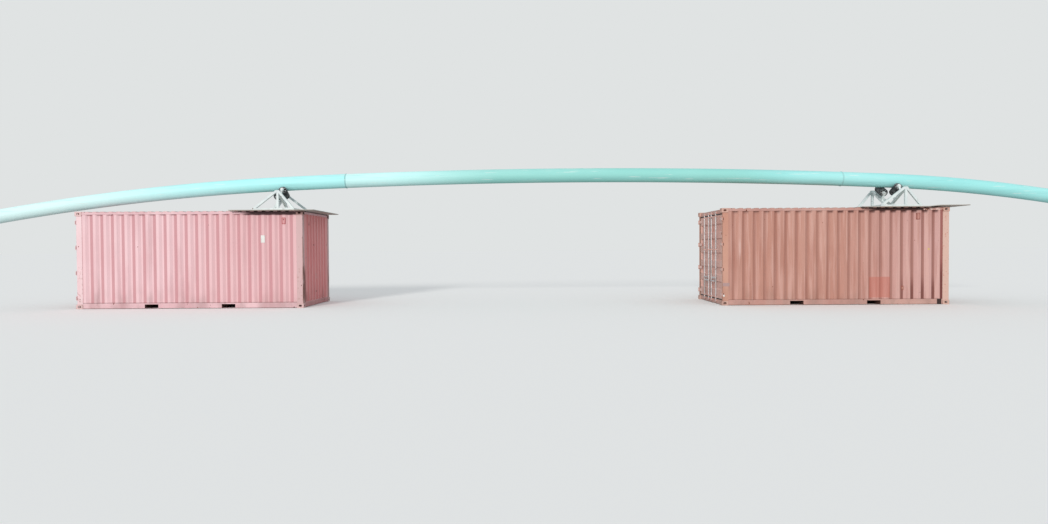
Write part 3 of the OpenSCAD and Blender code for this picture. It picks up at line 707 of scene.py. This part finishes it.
def right_rail_marks(paint):
    """Worn and torn paint on the top rail, the boards' painted shadow, and painted shade in the gap
    at the end of the bottom rail.
    """
    bare = paint.times(paint.patch(*BARE_RAIL, 0.03), paint.noise(26, 0.48, 0.56, seed=79))
    paint.tint(srgb(232, 206, 196), bare, 0.8)
    board_shadow(paint, "right")
    # Painted shade in the gap at the end of the bottom rail
    paint.tint(srgb(30, 18, 18), paint.patch(*RAIL_GAP_SHADE, 0.008), 0.95)
    paint.rust(paint.times(paint.patch(*TORN_PAINT, 0.02), paint.noise(60, 0.42, 0.5, seed=53)))


def left_post_marks(paint):
    """The closed end's posts are greyer, with rust down their outer edges and low scrapes."""
    paint.tint(srgb(208, 172, 172), closed_half(paint, "left"), 0.85)
    edge = paint.times(paint.ramp(paint.axis("X"), LEFT[1].x - 0.03, LEFT[1].x - 0.015),
                       paint.noise(5, 0.35, 0.6, stretch=(1, 1, 4), seed=63))
    paint.tint(srgb(150, 100, 84), edge, 0.6)
    low = paint.span("Z", 0.25, 1.05, 0.1)
    paint.tint(srgb(112, 66, 54), paint.times(edge, low), 0.8)
    scrapes = paint.times(low, paint.noise(14, 0.54, 0.64, seed=67))
    paint.tint(srgb(178, 128, 118), scrapes, 0.35)


def left_casting_board_shadow(paint):
    """The upper castings under the boards are darkened by the boards' painted shadow."""
    top = paint.times(paint.ramp(paint.axis("X"), LEFT[1].x - 0.2, LEFT[1].x - 0.18),
                      paint.ramp(paint.axis("Z"), BOX_TOP - 0.12, BOX_TOP - 0.1))
    # Painted shadow of the boards, dark brown
    paint.tint(srgb(104, 68, 62), top, 0.8)


def right_post_marks(paint):
    """Painted shade in slots by the hinges; the closed end's posts are a pale tan with small red
    marks.
    """
    for z in HINGE_Z:
        # Painted shade in each slot
        slot = paint.patch(HINGE_SLOT_SHADE, (z - 0.035, z + 0.035), 0.008)
        paint.tint(srgb(70, 26, 20), slot, 0.85)
    closed = closed_half(paint, "right")
    paint.tint(srgb(220, 184, 171), closed, 0.9)
    paint.tint(srgb(186, 96, 84), paint.times(closed, paint.noise(16, 0.63, 0.68, seed=57)), 0.7)


def hinge_side_light(paint):
    """Painted light: the leaves' hinge sides are made as bright as the posts beside them."""
    paint.tint(paint.faded, paint.ramp(paint.apart("Y", MIDDLE), 0.9, 1.0), 0.8)


def roof_marks(paint):
    """Dirt where rain stood in the grooves."""
    paint.tint(DIRT, paint.noise(1.4, 0.5, 0.75, stretch=(1, 3, 1), seed=61), 0.4)


CONTAINER_NODES = {
    "walls": ("near_wall", "far_wall"),
    "ends": ("end_wall",),
    "posts": ("posts",),
    "rails": ("rails", "keepers"),
    "castings": ("castings",),
    "roof": ("roof",),
}

# Paints: colour, faded colour (also painted light) and deep colour (also painted shade), wear, and
# rounding of the edges
PAINTS = {
    "left": {
        "walls": (((238, 196, 201), (247, 212, 217), (200, 142, 148)), -2.0, 0.0),
        "ends": (((230, 150, 151), (236, 166, 166), (196, 116, 117)), 0.0, 0.0),
        "posts": (((240, 204, 209), (248, 220, 223), (214, 162, 166)), 0.6, 0.005),
        "rails": (((226, 182, 188), (242, 208, 212), (192, 136, 140)), 0.8, 0.005),
        "castings": (((222, 182, 182), (234, 204, 202), (170, 124, 118)), 1.2, 0.008),
        "roof": (((220, 178, 180), (238, 204, 204), (190, 136, 138)), 1.0, 0.0),
    },
    "right": {
        "walls": (((191, 138, 123), (210, 166, 154), (164, 110, 97)), -1.5, 0.0),
        "ends": (((184, 130, 120), (204, 160, 150), (150, 98, 90)), 1.0, 0.0),
        "posts": (((200, 145, 126), (214, 170, 152), (170, 110, 92)), 1.0, 0.005),
        "rails": (((192, 144, 134), (214, 176, 166), (160, 108, 98)), 1.0, 0.005),
        "castings": (((206, 164, 150), (220, 186, 174), (156, 108, 96)), 1.2, 0.008),
        "roof": (((192, 146, 136), (212, 174, 162), (160, 108, 98)), 1.0, 0.0),
    },
}
MARKS = {
    ("left", "castings"): left_casting_board_shadow,
    ("left", "walls"): left_wall_marks,
    ("right", "walls"): right_wall_marks,
    ("left", "ends"): left_end_marks,
    ("right", "ends"): right_end_shade,
    ("left", "posts"): left_post_marks,
    ("left", "rails"): left_rail_marks,
    ("right", "rails"): right_rail_marks,
    ("right", "posts"): right_post_marks,
    ("left", "roof"): roof_marks,
    ("right", "roof"): roof_marks,
}

# The same for the doors, whose edges all have one rounding
DOOR_PAINTS = {
    "left": (((204, 152, 154), (224, 182, 182), (160, 108, 108)), 1.5),
    "right": (((212, 160, 148), (224, 184, 174), (160, 112, 102)), 1.5),
}


def dress_containers(zinc):
    """Materials of both containers' CAD nodes."""
    for side, paints in PAINTS.items():
        for part, (colours, wear, edge) in paints.items():
            marks = MARKS.get((side, part))
            material = container_paint(f"{side}_{part}_paint", colours, wear, marks, edge)
            assign(material, *[f"{side}_{name}" for name in CONTAINER_NODES[part]])
    doors = {
        side: container_paint(f"{side}_doors_paint", *paint, marks=hinge_side_light, edge=0.004)
        for side, paint in DOOR_PAINTS.items()}
    assign(doors["left"], "left_doors")
    assign(doors["right"], "right_near_door", "right_far_door")
    rods = [f"right_{leaf}_{rod}_rod" for leaf in ("near", "far") for rod in ("outer", "inner")]
    assign(zinc, "left_lock_rods", *rods)
    under = steel_paint("underframe_paint", srgb(112, 76, 66), srgb(88, 60, 54), 0.06)
    assign(under, "left_cross_members", "right_cross_members")
    assign(planked("floor_wood"), "left_floor", "right_floor")


def door_gear(side, far, body, zinc, seal):
    """Rubber seal, bolts, guide plates and handle catches of one leaf."""
    def at(x, y, z):
        return Vector((SIDE[side][0].x + x, FAR - y if far else NEAR + y, z))

    name = f"{side}_{'far' if far else 'near'}"
    gasket = Piece(f"{name}_door_seal")
    lap, strip, proud, sunk_in, rounding = 0.0035, 0.024, 0.005, 0.002, 0.0015
    rims = []
    for grow in (lap, -strip):
        corners = (at(0, LEAF_Y[0] - grow, LEAF_Z[0] - grow),
                   at(0, LEAF_Y[1] + grow, LEAF_Z[1] + grow))
        rims.append((tuple(c.y for c in corners), tuple(c.z for c in corners)))
    planes = [at(x, 0, 0).x for x in (LEAF_FACE - proud, LEAF_FACE + sunk_in)]
    gasket.frame(planes, *rims, rounding)
    gasket.done(seal, "rollers", body)

    gear = Piece(f"{name}_door_gear")
    out = (-1, 0, 0)
    for z in HINGE_Z:
        for y in BLADE_BOLTS:
            for step in (-BLADE_STEP, BLADE_STEP):
                gear.bolt(at(BLADE_FACE, y, z + step), out, BLADE_HEAD)
    wide, tall = GUIDE_PLATE
    face = LEAF_FACE - GUIDE_THICK
    for y in ROD_Y:
        for z in GUIDE_Z:
            gear.block(at(face, y - wide, z - tall), at(LEAF_FACE, y + wide, z + tall), EDGE)
            for step in (-GUIDE_BOLT, GUIDE_BOLT):
                gear.bolt(at(face, y + step, z), out, GUIDE_HEAD)
    lip, play, border = 0.004, 0.003, 0.02
    for y, z in HANDLES:
        gear.block(at(LEAF_FACE - lip, y[0] - border, z[0] - border),
                   at(LEAF_FACE, y[1] + border, z[1] + border), EDGE)
        for low, high in ((z[0] - play - lip, z[0] - play), (z[1] + play, z[1] + play + lip)):
            gear.block(at(HANDLE_FACE, y[0], low), at(LEAF_FACE - lip / 2, y[1], high), EDGE)
        for place in (y[0] - border / 2, y[1] + border / 2):
            gear.bolt(at(LEAF_FACE - lip, place, (z[0] + z[1]) / 2), out, CATCH_HEAD)
    gear.done(zinc, "galvanised", body)


# Vents: where the near walls' are, in X and Z; each container has another, diagonally across
VENTS = {"left": (-6.381, 2.32), "right": (10.487, 2.35)}

# Vent: its width and height, how many louvres it has, and the width of its edge
VENT_SIZE = (0.092, 0.17)
VENT_LOUVRES = 5
VENT_EDGE = 0.016

# How far behind the castings' face the near wall's outer flats and the posts lie
WALL_FACE = 0.014
POST_FACE = 0.012

# Plain plates, in X and Z
WALL_PLATE = ((-6.993, -6.889), (1.744, 1.938))
POST_PLATE = ((5.289, 5.47), (0.51, 0.60))
POST_TAG = ((5.297, 5.337), (0.235, 0.285))

# Thickness of the plates and the tag, and the head of the rivets that hold plates and vents
PLATE_THICK = 0.003
TAG_THICK = 0.002
RIVET = 0.003


def vent(side, x, z, far, material, rim):
    """Sheet-steel vent with sloping louvres in a painted rim, set on a wall's outer flat."""
    low, high = SIDE[side]

    def at(dx, depth, dz):
        place = low.x + high.x - x if far else x
        return Vector((place + dx, FAR - depth if far else NEAR + depth, z + dz))

    name = f"{side}_{'far' if far else 'near'}_vent"
    half, tall = VENT_SIZE[0] / 2, VENT_SIZE[1] / 2
    lip, plate, sunk_in, behind, rounding = 0.002, 0.008, 0.009, 0.030, 0.002
    made = Piece(name)
    made.block(at(-half, plate, -tall), at(half, WALL_FACE + behind, tall), rounding)
    pitch = 2 * (tall - VENT_EDGE) / VENT_LOUVRES
    for i in range(VENT_LOUVRES):
        foot = VENT_EDGE - tall + i * pitch
        top = foot + 0.7 * pitch
        profile = ((lip, foot), (plate, top), (sunk_in, top - 0.003), (sunk_in, foot))
        ends = [made.ring(at(dx, depth, dz) for depth, dz in profile)
                for dx in (VENT_EDGE - half, half - VENT_EDGE)]
        made.join(*ends)
        for end in ends:
            made.mesh.faces.new(end)
    made.done(material, f"{side}_walls")
    border = Piece(f"{name}_rim")
    thin = VENT_EDGE - 0.003
    front, back = 0.004, 0.010
    for end in (-1, 1):
        border.block(at(end * half, front, -tall), at(end * (half - thin), back, tall), rounding)
        border.block(at(thin - half, front, end * tall),
                     at(half - thin, back, end * (tall - thin)), rounding)
        for dz in (-tall + thin / 2, tall - thin / 2):
            place = at(end * (half - thin / 2), front, dz)
            border.rivet(place, (0, 1 if far else -1, 0), RIVET)
    border.done(rim, f"{side}_walls")


def near_plate(name, x, z, depth, thick, material):
    """Bare plate held by rivets, flat on what is depth behind the castings."""
    plate = Piece(name)
    face = NEAR + depth
    edge, rounding = 0.008, 0.0008
    plate.block((x[0], face - thick, z[0]), (x[1], face, z[1]), rounding)
    for place in (x[0] + edge, x[1] - edge):
        for height in (z[0] + edge, z[1] - edge):
            plate.rivet((place, face - thick, height), (0, -1, 0), RIVET)
    plate.done(material, "galvanised")


def roof_caps(side, material):
    """Closes the ends of the roof's crowns over both side rails, as pressed sheet is."""
    low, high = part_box(f"{side}_roof")
    under = {}
    for vert in frame["nodes"][f"{side}_roof"].data.vertices:
        place = round(vert.co.x, 4)
        under[place] = min(under.get(place, high.z), vert.co.z)
    line = sorted(under.items())
    runs = list(zip(line, line[1:]))
    slope = min(end - start for (start, _), (end, _) in runs)
    foot = min(under.values())
    thick, recess, lap = 0.003, 0.001, 0.0005
    caps = Piece(f"{side}_roof_caps")
    for (start, rise), (end, after) in runs:
        if min(rise, after) < foot + lap:
            continue
        corners = ((max(start - slope, low.x), foot), (start, rise + lap),
                   (end, after + lap), (min(end + slope, high.x), foot))
        for y in (low.y + recess, high.y - recess - thick):
            rings = [caps.ring((x, plane, z) for x, z in corners) for plane in (y, y + thick)]
            caps.join(*rings)
            for ring in rings:
                caps.mesh.faces.new(ring)
    caps.done(material, f"{side}_roof")


def fit_containers(zinc):
    """Door gear, vents, roof caps and plain plates."""
    seal = seal_rubber("seal_rubber")
    for far in (False, True):
        door_gear("left", far, BODY, zinc, seal)
        door_gear("right", far, "far_door" if far else "near_door", zinc, seal)
    plates = {"left": ((222, 160, 164), (236, 190, 192), (186, 110, 112)),
              "right": ((196, 140, 128), (212, 168, 158), (160, 104, 94))}
    rims = {"left": ((182, 66, 70), (200, 104, 102), (140, 50, 54)),
            "right": ((140, 70, 62), (166, 104, 94), (104, 50, 46))}
    for side, (x, z) in VENTS.items():
        plate = container_paint(f"{side}_vent_paint", plates[side], 0.5)
        rim = container_paint(f"{side}_vent_rim_paint", rims[side], 0.5)
        for far in (False, True):
            vent(side, x, z, far, plate, rim)
        roof_caps(side, frame["nodes"][f"{side}_roof"].material_slots[0].material)
    pale = bare_plate("pale_plate", srgb(232, 232, 228))
    grey = bare_plate("grey_plate", srgb(178, 146, 144))
    near_plate("left_wall_plate", *WALL_PLATE, WALL_FACE, PLATE_THICK, pale)
    near_plate("right_post_plate", *POST_PLATE, POST_FACE, PLATE_THICK, grey)
    near_plate("right_post_tag", *POST_TAG, POST_FACE, TAG_THICK, pale)


# Boards: the right ones rise past the stand, towards their free end
RISE_FROM = 10.64
RISE_RUN = 0.4
RISE = 0.03

# Name of the place between a sheet's two faces, which its plies are painted by
PLY = "ply"


def lift(x):
    """How far a board has risen at that place along X."""
    run = min(max((x - RISE_FROM) / RISE_RUN, 0.0), 1.0)
    return RISE * run * run * (3 - 2 * run)


def plywood(node, material):
    """The node's sheets as laid, each a thin slab that follows the lift."""
    made = Piece(f"{node}_plywood")
    across = made.mesh.verts.layers.float.new(PLY)
    steps = 16
    for low, high in solids_of(node):
        rings = []
        for i in range(steps + 1):
            x = low[0] + (high[0] - low[0]) * i / steps
            foot, top = low[2] + lift(x), high[2] + lift(x)
            ring = made.ring((x, y, z) for y, z in (
                (low[1], foot), (high[1], foot), (high[1], top), (low[1], top)))
            for vert in ring[2:]:
                vert[across] = 1.0
            rings.append(ring)
        for first, second in zip(rings, rings[1:]):
            made.join(first, second)
        made.mesh.faces.new(rings[0])
        made.mesh.faces.new(rings[-1])
    sheet = made.done(material, "boards")
    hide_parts(node)


# Stands: radius of a weld bead
WELD = 0.0035

# Roller: radius of its hollow and its hub, and how far from its middle the spokes' faces lie
ROLLER_CORE = 0.091
HUB = 0.042
SPOKE_FACE = 0.140

# Bearings: how far from the roller's middle they end, and their bolts' distance and head
BEARING_FACE = 0.202
BEARING_BOLT = 0.038
BEARING_HEAD = 0.007


def foot_outlines(node):
    """Rectangles where a node's posts or legs stand on what is below."""
    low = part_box(node)[0]
    places = [vert.co for vert in frame["nodes"][node].data.vertices]
    foot = [place for place in places if abs(place.z - low.z) < 0.0005]
    xs = sorted({round(place.x, 4) for place in foot})
    near, far = min(place.y for place in foot), max(place.y for place in foot)
    for left, right in zip(xs[::2], xs[1::2]):
        corners = ((left, near), (right, near), (right, far), (left, far))
        yield [Vector((x, y, low.z)) for x, y in corners]


def fit_stands(white, zinc):
    """Welds round the posts' and legs' feet, and the bearings' bolts."""
    for side in SIDE:
        welds = Piece(f"{side}_stand_welds")
        for part in ("front_frame", "rear_frame", "roller_beams"):
            for outline in foot_outlines(f"{side}_stand_{part}"):
                welds.bead(outline, WELD)
        welds.done(white, "stand_steel", smooth=True)
        bolts = Piece(f"{side}_stand_bolts")
        for place in ("front", "rear"):
            spin = SPINS[f"{side}_{place}_roller"]
            centre, along = Vector(spin["pos_m"]), Vector(spin["axis"]).normalized()
            aside = Vector((1.0, 0.0, 0.0))
            for end in (-1, 1):
                face = centre + end * BEARING_FACE * along
                for step in (-BEARING_BOLT, BEARING_BOLT):
                    bolts.bolt(face + step * aside, end * along, BEARING_HEAD)
        bolts.done(zinc, "galvanised")


def dress_stands(white):
    """The boards' plywood, and the materials of both stands' CAD nodes."""
    wood = weathered_plywood("plywood")
    for side in SIDE:
        plywood(f"{side}_boards", wood)
        parts = ("base", "front_frame", "rear_frame", "roller_beams")
        assign(white, *[f"{side}_stand_{part}" for part in parts])
        for place in ("front", "rear"):
            finish = roller_finish(f"{side}_{place}_roller_finish", SPINS[f"{side}_{place}_roller"])
            assign(finish, f"{side}_stand_{place}_roller")


# Pipe: radius of its outside, and how far from its tip a length's square cut end face reaches
PIPE_RADIUS = 0.1943
END_REACH = 0.03

# Rolls of melted plastic at a joint: their radius, and their distance from the joint
ROLL_RADIUS = 0.0106
ROLL_OUT = 0.008


def pipe_end(node, sign):
    """Middle of a pipe length's end face towards sign along X, and the way it faces."""
    mesh = frame["nodes"][node].data
    tip = max(vert.co.x * sign for vert in mesh.vertices)
    faces = [face for face in mesh.polygons
             if face.normal.x * sign > 0.99 and face.center.x * sign > tip - END_REACH]
    area = sum(face.area for face in faces)
    centre = sum((face.center * face.area for face in faces), Vector()) / area
    facing = sum((face.normal * face.area for face in faces), Vector()).normalized()
    return centre, facing


def joint_bead(name, centre, along, material):
    """Two rolls of melted plastic, side by side round the pipe."""
    made = Piece(name)
    aside = along.cross(Vector((0.0, 0.0, 1.0))).normalized()
    up = aside.cross(along)
    round_steps, section = 96, 12
    for side in (-1, 1):
        rings = []
        for i in range(round_steps):
            turn = 2 * math.pi * i / round_steps
            radial = math.cos(turn) * aside + math.sin(turn) * up
            wave = 0.02 * math.sin(5 * turn + side) + 0.015 * math.sin(11 * turn)
            middle = centre + side * ROLL_OUT * along + PIPE_RADIUS * radial
            size = ROLL_RADIUS * (1 + wave)
            rings.append(made.ring(circle(middle, radial, along, size, section)))
        made.close(rings)
    made.done(material, "pipe_a", smooth=True)


def dress_pipe():
    """Each length has its own colour; where more light fell, it is painted lighter from the first X
    to the second.
    """
    lengths = {
        "left": (srgb(174, 247, 248), ((srgb(224, 253, 253), -7.0, -14.0),)),
        "middle": (srgb(152, 218, 211), ((srgb(204, 252, 251), -0.5, -4.0),
                                         (srgb(158, 230, 229), 5.5, 8.0))),
        "right": (srgb(160, 231, 230), ()),
    }
    for place, (colour, light_ramps) in lengths.items():
        plastic = pipe_plastic(f"pipe_{place}_plastic", colour, srgb(144, 206, 206), light_ramps)
        assign(plastic, f"pipe_{place}_length")
    bead = pipe_plastic("bead_plastic", srgb(150, 206, 206), srgb(120, 180, 180))
    joint_bead("left_joint_bead", *pipe_end("pipe_left_length", 1), bead)
    joint_bead("right_joint_bead", *pipe_end("pipe_right_length", -1), bead)


def build_stage():
    """Plain pale floor that keeps the object's shadow."""
    reach = FLOOR_REACH
    mesh = bpy.data.meshes.new("studio_floor")
    corners = [(-reach, -reach, 0), (reach, -reach, 0), (reach, reach, 0), (-reach, reach, 0)]
    mesh.from_pydata(corners, [], [(0, 1, 2, 3)])
    floor = bpy.data.objects.new("studio_floor", mesh)
    bpy.context.scene.collection.objects.link(floor)
    cover = Finish("studio_floor", srgb(*FLOOR), 0.9, specular=0.0)
    seen = cover.node("ShaderNodeLightPath").outputs["Is Camera Ray"]
    cover.tint(srgb(*FLOOR_SHOWN), seen)
    mesh.materials.append(cover.done())


def build_light():
    """One soft key light and even surround light; camera and gloss see the surround's colour."""
    scene = bpy.context.scene
    world = bpy.data.worlds.new("studio")
    scene.world = world
    world.use_nodes = True
    nodes, links = world.node_tree.nodes, world.node_tree.links
    nodes.clear()
    path = nodes.new("ShaderNodeLightPath")
    rays = path.outputs["Is Camera Ray"]
    for other in ("Is Glossy Ray", "Is Transmission Ray"):
        either = nodes.new("ShaderNodeMath")
        either.operation = "MAXIMUM"
        links.new(rays, either.inputs[0])
        links.new(path.outputs[other], either.inputs[1])
        rays = either.outputs[0]
    ambient = nodes.new("ShaderNodeBackground")
    ambient.inputs["Color"].default_value = AMBIENT_COLOUR
    ambient.inputs["Strength"].default_value = AMBIENT
    shown = nodes.new("ShaderNodeBackground")
    shown.inputs["Color"].default_value = srgb(*SURROUND)
    mix = nodes.new("ShaderNodeMixShader")
    links.new(rays, mix.inputs[0])
    links.new(ambient.outputs[0], mix.inputs[1])
    links.new(shown.outputs[0], mix.inputs[2])
    out = nodes.new("ShaderNodeOutputWorld")
    links.new(mix.outputs[0], out.inputs["Surface"])
    key = bpy.data.lights.new("key", "SUN")
    key.energy = KEY_STRENGTH
    key.angle = math.radians(KEY_ANGLE)
    key.color = KEY_COLOUR
    lamp = bpy.data.objects.new("key", key)
    lamp.rotation_mode = "QUATERNION"
    lamp.rotation_quaternion = Vector(KEY).to_track_quat("Z", "Y")
    scene.collection.objects.link(lamp)


def build_camera():
    """Level with a standing person's eyes, in front of the middle of the span."""
    camera = bpy.data.cameras.new("camera")
    camera.lens = LENS
    camera.sensor_fit = "HORIZONTAL"
    camera.sensor_width = SENSOR
    camera.clip_end = VIEW_REACH
    holder = bpy.data.objects.new("camera", camera)
    bpy.context.scene.collection.objects.link(holder)
    stand = Matrix.Translation((0, NEAR - CAMERA_DISTANCE, CAMERA_HEIGHT))
    tilt = Matrix.Rotation(math.radians(90 + PITCH), 4, "X")
    roll = Matrix.Rotation(math.radians(ROLL), 4, "Z")
    holder.matrix_world = stand @ tilt @ roll
    bpy.context.scene.camera = holder


zinc = galvanised("lock_rod_zinc")
white = steel_paint("stand_paint", srgb(225, 234, 234), srgb(206, 215, 218), 0.0)
dress_containers(zinc)
fit_containers(zinc)
dress_stands(white)
fit_stands(white, zinc)
dress_pipe()
build_stage()
build_light()
build_camera()
bpy.context.scene.view_settings.view_transform = "Standard"
